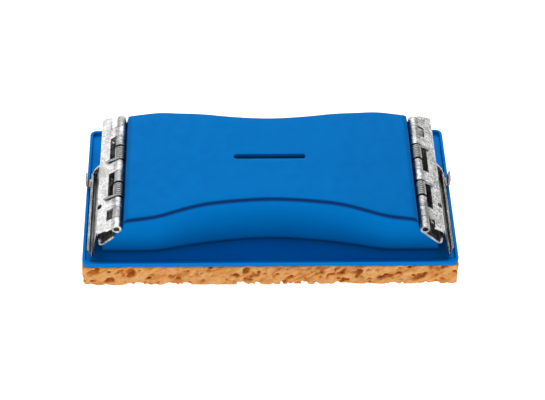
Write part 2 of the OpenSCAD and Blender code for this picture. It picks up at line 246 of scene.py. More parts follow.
class Material(Nodes):
    """A material with one Principled shader, textured in object space (metres)."""

    def __init__(self, name):
        self.mat = bpy.data.materials.new(name)
        super().__init__(self.mat)
        self.bsdf = self.node("BsdfPrincipled")
        self.node("OutputMaterial", {0: self.bsdf.outputs[0]})
        self.coord = self.node("TexCoord").outputs["Object"]

    def mapped(self, vector=None, **inputs):
        return self.node("Mapping", {"Vector": vector or self.coord, **inputs}).outputs[0]

    def noise(self, scale, detail=3.0, rough=0.5, vector=None, distortion=0.0):
        inputs = {"Vector": vector or self.coord, "Scale": scale, "Detail": detail,
                  "Roughness": rough, "Distortion": distortion}
        return self.node("TexNoise", inputs).outputs["Fac"]

    def voronoi(self, scale):
        inputs = {"Vector": self.coord, "Scale": scale, "Randomness": 1.0}
        return self.node("TexVoronoi", inputs, feature="F1").outputs["Distance"]

    def ramp(self, value, stops):
        node = self.node("ValToRGB", {"Fac": value})
        elements = node.color_ramp.elements
        while len(elements) > 1:
            elements.remove(elements[-1])
        for k, (position, colour) in enumerate(stops):
            element = elements[0] if k == 0 else elements.new(position)
            element.position = position
            element.color = (*colour, 1.0)
        return node.outputs["Color"]

    def mix(self, under, over, amount, blend="MIX"):
        inputs = {"Factor": amount, 6: under, 7: over}
        return self.node("Mix", inputs, data_type="RGBA", blend_type=blend).outputs[2]

    def weigh(self, first, second):
        """Sum of two noises, a little more of the first."""
        return self.math("ADD", self.times(first, 0.55), self.times(second, 0.45))

    def bump(self, height, strength, distance, normal=None):
        """Bump of a distance in metres, on top of another normal if one is given."""
        inputs = {"Height": height, "Strength": strength, "Distance": distance}
        if normal is not None:
            inputs["Normal"] = normal
        return self.node("Bump", inputs).outputs[0]

    def xyz(self, vector=None):
        return self.node("SeparateXYZ", {0: vector or self.coord}).outputs

    def geometry(self, output):
        return self.node("NewGeometry").outputs[output]

    def rim(self, radius):
        """1 within radius (mm) of a sheet's edge, 0 on its flats."""
        bevel = self.node("Bevel", {"Radius": radius * MM}, samples=6).outputs[0]
        return self.remap(self.dot(bevel, self.geometry("Normal")), span=(0.995, 0.92))

    def put(self, **inputs):
        for key, value in inputs.items():
            self.set(self.bsdf.inputs[key.replace("_", " ")], value)
        return self.mat


def srgb(code):
    channels = [int(code[i : i + 2], 16) / 255 for i in (0, 2, 4)]
    return tuple(c / 12.92 if c <= 0.04045 else ((c + 0.055) / 1.055) ** 2.4 for c in channels)


def shade(colour, factor):
    return tuple(c * factor for c in colour)


# ---------------------------------------------------------------- materials
# directions towards the two soft boxes
BOX_ABOVE = (0.0, 0.80, 0.60)  # above and behind the eraser
BOX_FRONT = (-0.04, -0.93, 0.37)  # in front of it, low


def blue_plastic(name, base, deep, rough, edge_shade_amount=0.0, foot_z=None):
    """Moulded plastic; its edge amount paints shade along the long edges, and foot_z is the height
    where shade is painted at the foot.
    """
    dust = (0.16, 0.36, 0.62)
    # painted shade at the foot
    painted_foot_shade = (0.006, 0.022, 0.095)
    # painted shade along the long edges
    painted_edge_shade = (0.006, deep[1] * 0.15, deep[2] * 0.30)
    t = Material(name)
    cloud = t.noise(scale=28.0, detail=4.0, rough=0.55)
    col = t.mix(base, deep, t.remap(cloud, span=(0.35, 0.7)))
    # faint flow lines of the moulding, drawn out along the length
    drawn = t.mapped(Scale=(0.25, 1.6, 1.0))
    flow = t.noise(scale=60.0, detail=5.0, rough=0.6, vector=drawn, distortion=0.6)
    col = t.mix(col, shade(base, 0.86), t.remap(flow, span=(0.45, 0.75), to=(0.0, 0.22)))
    # pale specks in scattered patches
    speck = t.remap(t.voronoi(scale=420.0), span=(0.0, 0.09), to=(1.0, 0.0))
    few = t.remap(t.noise(scale=90.0, detail=2.0), span=(0.62, 0.72))
    col = t.mix(col, dust, t.times(t.times(speck, few), 0.35))
    # painted shade on faces tilted between side and top, the long edges, as a deeper line
    turned = t.node("VectorTransform", {0: t.geometry("Normal")}, vector_type="NORMAL",
                    convert_from="WORLD", convert_to="OBJECT")
    normal = t.xyz(turned.outputs[0])
    tilt = t.times(t.times(t.math("ABSOLUTE", normal["Y"]), normal["Z"]), 2.0)
    col = t.mix(col, painted_edge_shade, t.remap(tilt, span=(0.40, 0.92), to=(0.0, edge_shade_amount)))
    if foot_z is not None:
        # painted shade in a dark line where the foot stands on the tray floor
        low = t.remap(t.xyz()["Z"], span=((foot_z + 2.6) * MM, (foot_z + 0.5) * MM))
        col = t.mix(col, painted_foot_shade, t.times(low, 0.85))
    fine = t.noise(scale=260.0, rough=0.6)
    gloss = t.remap(fine, span=(0.3, 0.7), to=(rough - 0.06, rough + 0.09))
    # grain, scratches along the length and a broad unevenness
    scratch = t.noise(scale=900.0, detail=2.0, rough=0.7, vector=t.mapped(Scale=(0.12, 1.0, 1.0)))
    bump = t.bump(t.noise(scale=1500.0, detail=2.0), strength=0.10, distance=0.00008)
    bump = t.bump(scratch, strength=0.04, distance=0.00005, normal=bump)
    bump = t.bump(t.noise(scale=35.0, detail=2.0), strength=0.10, distance=0.0004, normal=bump)
    return t.put(Base_Color=col, Roughness=gloss, Normal=bump, Specular_IOR_Level=0.03,
                 Metallic=0.30, Specular_Tint=(0.0, 0.45, 1.0))


def leaf_details(t, col, bump):
    """Colour and bump of a leaf's lip, rolled barrels and flat sheet, told apart by |x|."""
    # painted dark reflection on the lip
    lip_dark_reflection = (0.075, 0.074, 0.072)
    burnished = (0.15, 0.15, 0.146)
    # painted shade against soft-box reflections
    soft_box_reflection_shade = (0.10, 0.10, 0.10)
    # tone of the lip's edges: partly wear, partly painted highlight
    bright = (0.90, 0.90, 0.89)
    across = t.math("ABSOLUTE", t.xyz()["X"])

    def zone(start, end):
        """0 to 1 between two distances from the hinge pin, in mm towards the eraser's end."""
        return t.remap(across, span=((PIN_X + start) * MM, (PIN_X + end) * MM))

    # the lip is painted darker in long streaks: painted dark reflection
    on_lip = zone(8.5, 9.2)
    drawn = t.mapped(Scale=(1.0, 0.07, 0.55))
    streak = t.noise(scale=1500.0, detail=4.0, rough=0.62, vector=drawn, distortion=0.3)
    dark = t.times(on_lip, t.remap(streak, span=(0.40, 0.57), to=(0.15, 1.0)))
    col = t.mix(col, lip_dark_reflection, t.times(dark, 0.86))
    # rolled barrels: burnished darker, scored round the turn
    barrel = zone(2.9, 2.2)
    score = t.noise(scale=1100.0, detail=4.0, rough=0.65, vector=t.mapped(Scale=(0.35, 1.0, 0.35)))
    scored = t.remap(score, span=(0.36, 0.62), to=(0.12, 0.80))
    col = t.mix(col, burnished, t.times(barrel, scored))
    bump = t.bump(streak, strength=0.35, distance=0.0003, normal=bump)
    # painted shade on the flat sheet where it mirrors a soft box, so an open jaw doesn't burn out
    mirrored = t.node("TexCoord").outputs["Reflection"]
    above, front = (
        t.remap(t.dot(mirrored, Vector(direction).normalized()), span=span)
        for direction, span in ((BOX_ABOVE, (0.72, 0.90)), (BOX_FRONT, (0.72, 0.92)))
    )
    seen = t.math("MAXIMUM", above, front)
    col = t.mix(col, soft_box_reflection_shade, t.times(t.times(seen, zone(2.4, 3.2)), 0.72))
    # the lip's free edges are lightened, partly wear and partly painted highlight
    col = t.mix(col, bright, t.times(t.times(t.rim(0.22), on_lip), 0.7))
    return col, bump


def plated(name, light, dark, rough, mottle=1.0, drag=(1.0, 0.22, 1.0), leaf=False):
    """Zinc plate: bright and cloudy; mottle is how uneven, drag stretches the scuffs."""
    grime = (0.13, 0.125, 0.12)
    smudged = (0.20, 0.20, 0.195)
    # edge tone: partly wear, partly painted highlight
    worn_edge_highlight_tone = (0.86, 0.86, 0.85)
    t = Material(name)
    cloud = t.noise(scale=420.0, detail=5.0, rough=0.62, distortion=0.5)
    patch = t.noise(scale=1100.0, rough=0.6, distortion=0.3)
    streak = t.noise(scale=1300.0, detail=4.0, rough=0.65, vector=t.mapped(Scale=drag))
    clouded = t.remap(t.weigh(cloud, patch), span=(0.5 - 0.09 / mottle, 0.5 + 0.09))
    col = t.mix(dark, light, clouded)
    scuffs = t.remap(streak, span=(0.55, 0.8), to=(0.0, 0.35 * mottle))
    col = t.mix(col, shade(dark, 0.5), scuffs)
    # grime in the smallest pits
    pits = t.remap(t.voronoi(scale=900.0), span=(0.08, 0.26), to=(0.6 * mottle, 0.0))
    col = t.mix(col, grime, pits)
    gloss = t.remap(t.weigh(patch, streak), span=(0.35, 0.65), to=(rough, rough + 0.26))
    dents = t.noise(scale=560.0, rough=0.55, distortion=0.3)
    bump = t.bump(dents, strength=0.5 * mottle, distance=0.0006)
    bump = t.bump(streak, strength=0.2 * mottle, distance=0.00015, normal=bump)
    grain = t.noise(scale=2600.0, detail=2.0)
    bump = t.bump(grain, strength=0.08, distance=0.00005, normal=bump)
    # broad smudges, then the edges lightened, partly wear and partly painted highlight
    smudge = t.noise(scale=150.0, detail=4.0, rough=0.6, vector=t.mapped(Scale=(1.0, 0.5, 1.0)),
                     distortion=0.8)
    col = t.mix(col, smudged, t.remap(smudge, span=(0.50, 0.66), to=(0.0, 0.50 * mottle)))
    worn_edge_highlight_mask = t.rim(0.16) if leaf else t.remap(t.geometry("Pointiness"), span=(0.50, 0.58))
    col = t.mix(col, worn_edge_highlight_tone, t.times(worn_edge_highlight_mask, 0.5))
    if leaf:
        col, bump = leaf_details(t, col, bump)
    return t.put(Base_Color=col, Metallic=1.0, Roughness=gloss, Normal=bump)


def wire_steel(name, tint, rough):
    # painted shade
    groove_and_axis_shade = (0.02, 0.02, 0.02)
    t = Material(name)
    mottle = t.noise(scale=900.0, rough=0.6)
    col = t.mix(shade(tint, 0.62), tint, t.remap(mottle, span=(0.35, 0.65)))
    bump = t.bump(t.noise(scale=2200.0, rough=0.6), strength=0.15, distance=0.00006)
    # painted shade darkens the grooves between neighbouring turns, nearer the pin's axis
    place = t.xyz()
    dx = t.math("SUBTRACT", t.math("ABSOLUTE", place["X"]), PIN_X * MM)
    dz = t.math("SUBTRACT", place["Z"], PIN_Z * MM)
    from_pin = t.math("SQRT", t.math("ADD", t.times(dx, dx), t.times(dz, dz)))
    groove = t.remap(from_pin, span=((KNUCKLE_R + 0.16) * MM, (KNUCKLE_R - 0.12) * MM))
    col = t.mix(col, groove_and_axis_shade, t.times(groove, 0.93))
    gloss = t.remap(mottle, span=(0.3, 0.7), to=(rough, rough + 0.2))
    return t.put(Base_Color=col, Metallic=1.0, Roughness=gloss, Normal=bump)


def sponge_material():
    """Cellulose, pale outside and darker down in the pores, painted shade (attribute "depth", 0 to 1).
    """
    # painted shade, darker with depth in the pores
    pore_depth_shade = [(0.0, srgb("e3ab6e")), (0.09, srgb("d8995a")), (0.22, srgb("c57a35")),
                (0.45, srgb("a9591b")), (1.0, srgb("7a3a0b"))]
    overall = (0.80, 0.755, 0.69)
    t = Material("sponge_cellulose")
    col = t.ramp(t.node("Attribute", attribute_name="depth").outputs["Fac"], pore_depth_shade)
    # fibres drawn out on the slant, brown and pale
    slanted = t.mapped(Rotation=(0.0, math.radians(32), 0.0))
    drawn = t.mapped(slanted, Scale=(0.34, 0.8, 1.25))
    fibre = t.noise(scale=330.0, detail=4.0, rough=0.6, vector=drawn, distortion=0.6)
    col = t.mix(col, srgb("c4742c"), t.remap(fibre, span=(0.50, 0.66), to=(0.0, 0.85)))
    col = t.mix(col, srgb("edbd85"), t.remap(fibre, span=(0.44, 0.32), to=(0.0, 0.7)))
    patch = t.noise(scale=170.0, detail=4.0, rough=0.6, distortion=0.5)
    col = t.mix(col, srgb("cf8a48"), t.remap(patch, span=(0.50, 0.68), to=(0.0, 0.5)))
    col = t.mix(col, overall, 1.0, blend="MULTIPLY")
    pit = t.voronoi(scale=640.0)
    # painted shade: the bumped pits are darker
    col = t.mix(col, srgb("b0682a"), t.remap(pit, span=(0.12, 0.34), to=(0.30, 0.0)))
    # pits, fibres, then two sizes of grain
    bump = t.bump(t.remap(pit, span=(0.05, 0.45)), strength=0.45, distance=0.0006)
    bump = t.bump(fibre, strength=0.8, distance=0.0012, normal=bump)
    grain = t.noise(scale=900.0, detail=4.0, rough=0.7)
    bump = t.bump(grain, strength=0.5, distance=0.0004, normal=bump)
    bump = t.bump(t.noise(scale=2200.0, rough=0.7), strength=0.3, distance=0.0001, normal=bump)
    return t.put(Base_Color=col, Roughness=0.92, Normal=bump, Specular_IOR_Level=0.12,
                 Subsurface_Weight=0.12, Subsurface_Radius=(1.0, 0.45, 0.18),
                 Subsurface_Scale=0.0012)


def glue_material():
    amber, cream = (0.62, 0.52, 0.33), (0.74, 0.66, 0.47)
    t = Material("adhesive_film")
    mottle = t.noise(scale=500.0)
    col = t.mix(amber, cream, t.remap(mottle, span=(0.35, 0.65)))
    return t.put(Base_Color=col, Roughness=t.remap(mottle, span=(0.3, 0.7), to=(0.45, 0.7)),
                 Normal=t.bump(mottle, strength=0.4, distance=0.0002))


M_GRIP = blue_plastic("grip_blue", base=(0.0, 0.136, 0.415), deep=(0.0, 0.128, 0.400),
                      rough=0.38, edge_shade_amount=0.86, foot_z=FOOT_Z)
M_TRAY = blue_plastic("tray_blue", base=(0.0, 0.150, 0.50), deep=(0.0, 0.140, 0.47), rough=0.36)
# the two jaws are one part; the right jaw's darker tone is painted shade
M_JAW = {
    "left": plated("plated_jaw_left", light=(0.97, 0.97, 0.96), dark=(0.58, 0.58, 0.58),
                   rough=0.20, mottle=0.8, leaf=True),
    "right": plated("plated_jaw_right", light=(0.96, 0.96, 0.95), dark=(0.36, 0.36, 0.36),
                    rough=0.19, mottle=1.1, leaf=True),
}
M_LEAF = plated("plated_leaf", light=(0.74, 0.74, 0.73), dark=(0.30, 0.30, 0.30), rough=0.24,
                leaf=True)
M_SMALL = plated("plated_small", light=(0.70, 0.70, 0.69), dark=(0.42, 0.42, 0.42), rough=0.28,
                 mottle=0.6, drag=(1.0, 1.0, 1.0))
M_PIN = wire_steel("pin_steel", tint=(0.34, 0.33, 0.32), rough=0.34)
M_WIRE = wire_steel("spring_wire", tint=(0.50, 0.50, 0.49), rough=0.22)
M_SPONGE = sponge_material()
M_GLUE = glue_material()


# ---------------------------------------------------------------- grip
WALL = 2.4
SHOULDER_X = PIN_X - 3.0  # the roof ends here
FACET_X = PIN_X - 2.3  # the sloping end facet starts here
GRIP_X = PIN_X + 7.1  # end of the grip
SHOULDER_R = 1.3
NOSE = 1.2  # length of the rounding at the facet's low end
CORNER_R = 0.9  # upright corners at the grip's ends
EDGE_R = 2.0  # long top edges
FOOT_IN = 1.2  # how far the foot curls in
DRAFT = 0.5  # how far the side wall leans out from top to foot
SPRING_Y = 11.7
RIVET_Y = (-24, 0, 24)
RIVET_ALONG = 7.6  # down the facet from the pin

# (x, z) directions along the end facet and out of it
FACET_TILT = math.radians(43)
FACET_DIR = np.array([math.cos(FACET_TILT), -math.sin(FACET_TILT)])
FACET_OUT = np.array([math.sin(FACET_TILT), math.cos(FACET_TILT)])
FACET_DEPTH = KNUCKLE_R + 0.03  # from the pin's axis to the facet

# half widths at the roof: narrow waist, wide ends
END_Y = (grip_high[1] - grip_low[1]) / 2 - DRAFT
WAIST_Y = END_Y - 7.5

# bow of the long sides: a power curve to BOW_BEND, then a parabola to BOW_END, then straight
BOW_BEND, BOW_END = 45, 54.4
BOW_SPAN, BOW_POWER = 49.5, 1.75
BEND_BOW, BEND_SLOPE = 0.8464, 0.0329  # value and slope at BOW_BEND

# roof: level to ROOF_FLAT, bending to ROOF_BEND, then falling evenly
ROOF_FLAT, ROOF_BEND, ROOF_FALL = 24.5, 36.5, 0.165


def facet_h(x, inward=0.0):
    return PIN_H + (-FACET_DEPTH - inward - (x - PIN_X) * FACET_OUT[0]) / FACET_OUT[1]


def bow(x):
    """0 at the waist, 1 at the ends."""
    x = abs(x)
    if x <= BOW_BEND:
        return (x / BOW_SPAN) ** BOW_POWER
    if x < BOW_END:
        past = x - BOW_BEND
        return BEND_BOW + BEND_SLOPE * past - BEND_SLOPE * past**2 / (2 * (BOW_END - BOW_BEND))
    return 1.0


def half_width(x):
    return WAIST_Y + (END_Y - WAIST_Y) * bow(x)


def roof_h(x):
    x = abs(x)
    if x <= ROOF_FLAT:
        return GRIP_H
    if x < ROOF_BEND:
        return GRIP_H - ROOF_FALL * (x - ROOF_FLAT) ** 2 / (2 * (ROOF_BEND - ROOF_FLAT))
    return GRIP_H - ROOF_FALL * (x - (ROOF_FLAT + ROOF_BEND) / 2)


def wall_y(x, h):
    return half_width(x) + DRAFT * (1 - (h - FOOT_H) / (GRIP_H - FOOT_H))


def section(x, top, radius, inset, bottom, wall_steps=5, arc_steps=8, top_steps=9, foot_in=0.0):
    """Closed cross-section at x: foot, wall, rounded edge and top, mirrored in Y."""
    half = [(wall_y(x, bottom) - inset - foot_in, bottom)]
    if foot_in:
        for k in range(1, 6):
            a = math.pi / 2 * k / 5
            half.append((wall_y(x, bottom) - inset - foot_in * (1 - math.sin(a)),
                         bottom + 1.5 * foot_in * (1 - math.cos(a))))
    low = half[-1][1]
    for k in range(1, wall_steps + 1):
        h = low + (top - radius - low) * k / wall_steps
        half.append((wall_y(x, h) - inset, h))
    arc_y = wall_y(x, top) - inset - radius
    for k in range(1, arc_steps + 1):
        a = math.pi / 2 * k / arc_steps
        half.append((arc_y + radius * math.cos(a), top - radius + radius * math.sin(a)))
    half += [(arc_y * (1 - k / top_steps), top) for k in range(1, top_steps)]
    outline = half + [(0.0, top)] + [(-y, h) for y, h in reversed(half)]
    return [(x, y, h + RIM_Z) for y, h in outline]


def loft(name, sections):
    n, count = len(sections[0]), len(sections)
    faces = [list(range(n)), [(count - 1) * n + k for k in range(n - 1, -1, -1)]]
    for j in range(count - 1):
        for k in range(n):
            a, b = j * n + k, j * n + (k + 1) % n
            faces.append((a, a + n, b + n, b))
    obj = mesh_object(name, [p for ring in sections for p in ring], faces)
    face_outward(obj)
    return obj


def both_ways(half):
    """Stations from the middle to the right end, mirrored to run the whole length."""
    return [(-s[0], *s[1:]) for s in reversed(half[1:])] + half


def on_facet(along, y, signs=(1, 1)):
    """4x4 (mm) with +X down the right end facet and +Z out of it; signs flip X and Y."""
    x, h = np.array([PIN_X, PIN_H]) + FACET_DIR * along - FACET_OUT * FACET_DEPTH
    m = np.eye(4)
    m[:3, 0] = (FACET_DIR[0], 0, FACET_DIR[1])
    m[:3, 2] = (FACET_OUT[0], 0, FACET_OUT[1])
    m[:3, 3] = (x, y, h + RIM_Z)
    m = np.diag([*signs, 1.0, 1.0]) @ m
    m[1, 3] += PIN_Y
    return m


def grip_stations():
    """(x, top height, edge radius, wall inset) from the middle to the right end."""
    stations = []

    def add(x, top, radius):
        over = x - (GRIP_X - CORNER_R)
        inset = CORNER_R - math.sqrt(max(0.0, CORNER_R**2 - over**2)) if over > 0 else 0.0
        stations.append((x, top, radius, inset))

    for x in np.linspace(0, SHOULDER_X - SHOULDER_R, 48):
        add(x, roof_h(x), EDGE_R)
    # rounded shoulder
    for k in range(1, 7):
        a = math.pi / 2 * k / 6
        add(SHOULDER_X - SHOULDER_R + SHOULDER_R * math.sin(a),
            roof_h(SHOULDER_X) - SHOULDER_R * (1 - math.cos(a)), EDGE_R - 0.5 * k / 6)
    # steep step down to the facet
    step_h = stations[-1][1]
    for k in (1, 2, 3):
        u = k / 3.3
        add(SHOULDER_X + (FACET_X - SHOULDER_X) * u,
            step_h + (facet_h(FACET_X) - step_h) * u, 1.5 - 0.5 * u)
    # facet
    add(FACET_X + 0.06, facet_h(FACET_X) - 0.02, 0.95)
    for x in np.linspace(FACET_X + 0.5, GRIP_X - NOSE, 9):
        add(x, facet_h(x), 0.9)
    # nose
    nose_h = facet_h(GRIP_X - NOSE)
    for k in range(1, 7):
        u = k / 6
        forth, down = math.sin(u * math.pi / 2), 1 - math.cos(u * math.pi / 2)
        add(GRIP_X - NOSE + NOSE * forth, nose_h - 1.12 * forth - 0.75 * down**1.5, 0.9 - 0.3 * u)
    return stations


def hollow(grip):
    end_roof, start_facet, end_facet = SHOULDER_X - WALL, FACET_X - WALL * 0.95, GRIP_X - WALL
    half = [(x, roof_h(x) - WALL, 0.9) for x in np.linspace(0, end_roof, 22)]
    half += [(x, facet_h(x, WALL), 0.8) for x in (start_facet, end_facet)]
    boolean(grip, loft("cavity", [
        section(*s, inset=WALL * 0.92, bottom=FOOT_H - 1, wall_steps=2, arc_steps=4, top_steps=2)
        for s in both_ways(half)
    ]))


def add_ribs_and_bosses(grip):
    """Two cross ribs and four drilled bosses hanging from the roof inside."""
    rib_half, boss_r, pilot_r = 0.75, 3.6, 1.3
    for x in (-28, 28):
        w = half_width(x) - 1.0
        top = roof_h(x) - WALL + 0.7 + RIM_Z
        rib = box_mesh("rib", (x - rib_half, -w, FOOT_Z + 6), (x + rib_half, w, top))
        boolean(grip, rib, "UNION")
    for x in (-45, 45):
        for y in (-18, 18):
            top = roof_h(x) - WALL + 0.6 + RIM_Z
            boss = prism("boss", circle(x, y, boss_r, 36), FOOT_Z + 1.4, top)
            boolean(grip, boss, "UNION")
            boolean(grip, prism("pilot", circle(x, y, pilot_r, 24), FOOT_Z + 1, FOOT_Z + 11))


def cut_slot(grip):
    """Long slot through the roof with a softened mouth."""
    half_length, half_gap, mid_y = 31.6 / 2, 2.4 / 2, 0.5
    # widening of the outline, height from the roof
    rings = [(0.0, -8), (0.0, -0.45), (0.06, -0.22), (0.2, -0.06), (0.45, 0.02), (0.5, 3)]
    verts = []
    for widen, h in rings:
        radius = half_gap + widen
        centre = half_length - half_gap
        right = [(centre + radius * math.cos(a), mid_y + radius * math.sin(a))
                 for a in np.linspace(-math.pi / 2, math.pi / 2, 14)]
        outline = right + [(-x, mid_y - (y - mid_y)) for x, y in right]
        verts += [(x, y, RIM_Z + GRIP_H + h) for x, y in outline]
    n = len(outline)
    faces = ring_sides(n, len(rings)) + ring_caps(n, len(rings))
    boolean(grip, mesh_object("slot", verts, faces))


def cut_end_facets(grip):
    """Rivet holes, coil pockets and grooves for the coils' lower legs."""
    for side in (1, -1):
        for y in RIVET_Y:
            place = on_facet(RIVET_ALONG, y, (side, 1))
            boolean(grip, prism("hole", circle(0, 0, 1.6, 24), -5, 3, place))
    for side in (1, -1):
        for y in (-SPRING_Y, SPRING_Y):
            place = on_facet(0, y, (side, side))
            boolean(grip, box_mesh("pocket", (-2.9, -4.95, -0.45), (3.1, 4.95, 2.55), place))
            place = on_facet(0, y - 3.7, (side, side))
            boolean(grip, box_mesh("groove", (-0.8, -0.8, -1.3), (8.2, 0.8, 0.7), place))


def build_grip():
    stations = both_ways(grip_stations())
    grip = loft("grip_body", [section(*s, bottom=FOOT_H, foot_in=FOOT_IN) for s in stations])
    hollow(grip)
    add_ribs_and_bosses(grip)
    cut_slot(grip)
    cut_end_facets(grip)
    smooth_below(grip, 30)
    paint(grip, M_GRIP)
    stand_in(grip, "grip_shell")


build_grip()


# ---------------------------------------------------------------- CAD nodes kept, refined by modifiers
def geometry_group(name):
    """New geometry node group with its input socket and output socket."""
    group = bpy.data.node_groups.new(name, "GeometryNodeTree")
    for way in ("INPUT", "OUTPUT"):
        group.interface.new_socket("Geometry", in_out=way, socket_type="NodeSocketGeometry")
    source = group.nodes.new("NodeGroupInput").outputs[0]
    return group, source, group.nodes.new("NodeGroupOutput").inputs[0]


def tidy_group():
    """Welds the mesh, drops its stored normals and shades it smooth."""
    group, source, result = geometry_group("tidy")
    weld = group.nodes.new("GeometryNodeMergeByDistance")
    weld.inputs["Distance"].default_value = 2e-6
    remove = group.nodes.new("GeometryNodeRemoveAttribute")
    remove.inputs["Name"].default_value = "custom_normal"
    for node in (weld, remove, group.nodes.new("GeometryNodeSetShadeSmooth")):
        group.links.new(source, node.inputs["Geometry"])
        source = node.outputs[0]
    group.links.new(source, result)
    return group


def crease_group(degrees):
    """Marks the edges sharper than the angle, for thin folded sheet that takes no bevel."""
    group, source, result = geometry_group("creases")
    angle = group.nodes.new("GeometryNodeInputMeshEdgeAngle")
    gentle = group.nodes.new("FunctionNodeCompare")
    gentle.data_type = "FLOAT"
    gentle.operation = "LESS_THAN"
    gentle.inputs[1].default_value = math.radians(degrees)
    shading = group.nodes.new("GeometryNodeSetShadeSmooth")
    shading.domain = "EDGE"
    group.links.new(angle.outputs[0], gentle.inputs[0])
    group.links.new(source, shading.inputs["Geometry"])
    group.links.new(gentle.outputs[0], shading.inputs["Shade Smooth"])
    group.links.new(shading.outputs[0], result)
    return group


TIDY = tidy_group()
CREASES = crease_group(30)


def polish(node, mat, width=0, segments=2):
    """Round a CAD node's edges to a width in mm, or only crease them where the width is 0."""
    obj = NODES[node]
    obj.modifiers.new("tidy", "NODES").node_group = TIDY
    flats = obj.modifiers.new("flats", "DECIMATE")
    flats.decimate_type = "DISSOLVE"
    flats.angle_limit = math.radians(0.6)
    if width:
        bevel = obj.modifiers.new("edges", "BEVEL")
        bevel.width = width * MM
        bevel.segments = segments
        bevel.limit_method = "ANGLE"
        bevel.angle_limit = math.radians(30)
        bevel.miter_outer = "MITER_ARC"
    else:
        obj.modifiers.new("creases", "NODES").node_group = CREASES
    normals = obj.modifiers.new("normals", "WEIGHTED_NORMAL")
    normals.keep_sharp = not width
    normals.weight = 60
    paint(obj, mat)


polish("base_tray", M_TRAY, width=0.35, segments=3)
polish("base_screws", M_SMALL, width=0.06)
for side in ("left", "right"):
    polish(side + "_fixed_leaf", M_LEAF)
    polish(side + "_jaw_leaf", M_JAW[side])
    polish(side + "_hinge_pin", M_PIN, width=0.18)
    polish(side + "_leaf_rivets", M_SMALL, width=0.08)
    polish(side + "_rivet_washers", M_SMALL, width=0.08)


# ---------------------------------------------------------------- springs
WIRE_R = 1.05 / 2
COIL_R = PIN_R + 0.15 + WIRE_R  # to the middle of the wire
LEG_Y = 3.72  # legs, either side of the coil's middle
FULL_TURNS = 6
TURN_STEPS = 230
WIRE_SIDES = 12
OVER_JAW = KNUCKLE_R + WIRE_R + 0.05  # wire axis over the jaw leaf
UNDER_LEAF = -KNUCKLE_R - WIRE_R - 0.06  # wire axis under the fixed leaf
PIN_XH = np.array([PIN_X, PIN_H])

# (x, z) directions along the jaw leaf and out of it
JAW_TILT = math.radians(34)
JAW_DIR = np.array([math.cos(JAW_TILT), -math.sin(JAW_TILT)])
JAW_OUT = np.array([math.sin(JAW_TILT), math.cos(JAW_TILT)])


def by_jaw(along, out):
    return PIN_XH + JAW_DIR * along + JAW_OUT * out


def by_facet(along, out):
    return PIN_XH + FACET_DIR * along + FACET_OUT * out


def tangent_angle(point, sign):
    """Angle about the pin of the tangent direction between a point and the coil."""
    dx, dh = point - PIN_XH
    return math.atan2(dh, dx) + sign * math.asin(COIL_R / np.linalg.norm((dx, dh)))


def spring_path():
    """Middle line of the wire: jaw leg, closed coil, then the leg along the facet."""
    jaw_root = by_jaw(3.9, OVER_JAW)
    start = tangent_angle(jaw_root, -1) + math.pi / 2
    end = tangent_angle(by_facet(3.3, UNDER_LEAF), 1) - math.pi / 2 + 2 * math.pi
    total = end + 2 * math.pi * FULL_TURNS - start
    tip, inner = by_jaw(5.7, OVER_JAW), by_jaw(4.7, OVER_JAW)
    leg = [tip * (1 - u) + inner * u for u in np.linspace(0, 1, 7)]
    leg.append(by_jaw(4.4, OVER_JAW + 0.01))
    touch = PIN_XH + COIL_R * np.array([math.cos(start), math.sin(start)])
    leg += [jaw_root * (1 - u) + touch * u for u in (0.15, 0.4, 0.65, 0.85)]
    path = [(x, LEG_Y, h) for x, h in leg]
    for k in range(TURN_STEPS + 1):
        a = start + total * k / TURN_STEPS
        path.append((PIN_X + COIL_R * math.cos(a), LEG_Y - 2 * LEG_Y * k / TURN_STEPS,
                     PIN_H + COIL_R * math.sin(a)))
    leg = [by_facet(3.0, UNDER_LEAF + 0.04)]
    leg += [by_facet(along, UNDER_LEAF) for along in (3.4, 3.8, 4.4, 5.2, 6.0, 6.8, 7.4)]
    return np.array(path + [(x, -LEG_Y, h) for x, h in leg])


def wire_mesh(path):
    """Vertices and faces of the round wire along a path, its ends tapered."""
    tangent = np.gradient(path, axis=0)
    tangent /= np.linalg.norm(tangent, axis=1)[:, None]
    across = np.array([0.0, 1.0, 0.0]) - tangent * tangent[:, 1:2]
    across /= np.linalg.norm(across, axis=1)[:, None]
    normal = np.cross(across, tangent)
    n = WIRE_SIDES

    def ring(i, centre, radius):
        angles = [2 * math.pi * k / n for k in range(n)]
        return [centre + radius * (math.cos(a) * across[i] + math.sin(a) * normal[i])
                for a in angles]

    verts = [v for i in range(len(path)) for v in ring(i, path[i], WIRE_R)]
    faces = ring_sides(n, len(path))
    for i, sign in ((0, -1), (len(path) - 1, 1)):
        base, start = i * n, len(verts)
        verts += ring(i, path[i] + sign * tangent[i] * 0.16, WIRE_R * 0.72)
        for k in range(n):
            a, b = base + k, base + (k + 1) % n
            c, d = start + k, start + (k + 1) % n
            faces.append((a, c, d, b) if sign > 0 else (a, b, d, c))
        cap = [start + k for k in range(n)]
        faces.append(cap if sign < 0 else cap[::-1])
    return np.array(verts), faces


def build_spring(name, node, y, side):
    """Torsion spring centred at y; side -1 turns it half round, to the left end.
    """
    verts, faces = wire_mesh(spring_path())
    verts[:, 1] += y
    verts[:, 2] += RIM_Z
    verts[:, :2] *= side
    verts[:, 1] += PIN_Y
    coil = mesh_object(name, verts, faces)
    face_outward(coil, smooth=True)
    paint(coil, M_WIRE)
    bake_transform(coil)
    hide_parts(node)


for side, sign in (("right", 1), ("left", -1)):
    for place, y in (("rear", SPRING_Y), ("front", -SPRING_Y)):
        build_spring(f"coil_{side}_{place}", f"{side}_spring_{place}",
                     sign * y, sign)


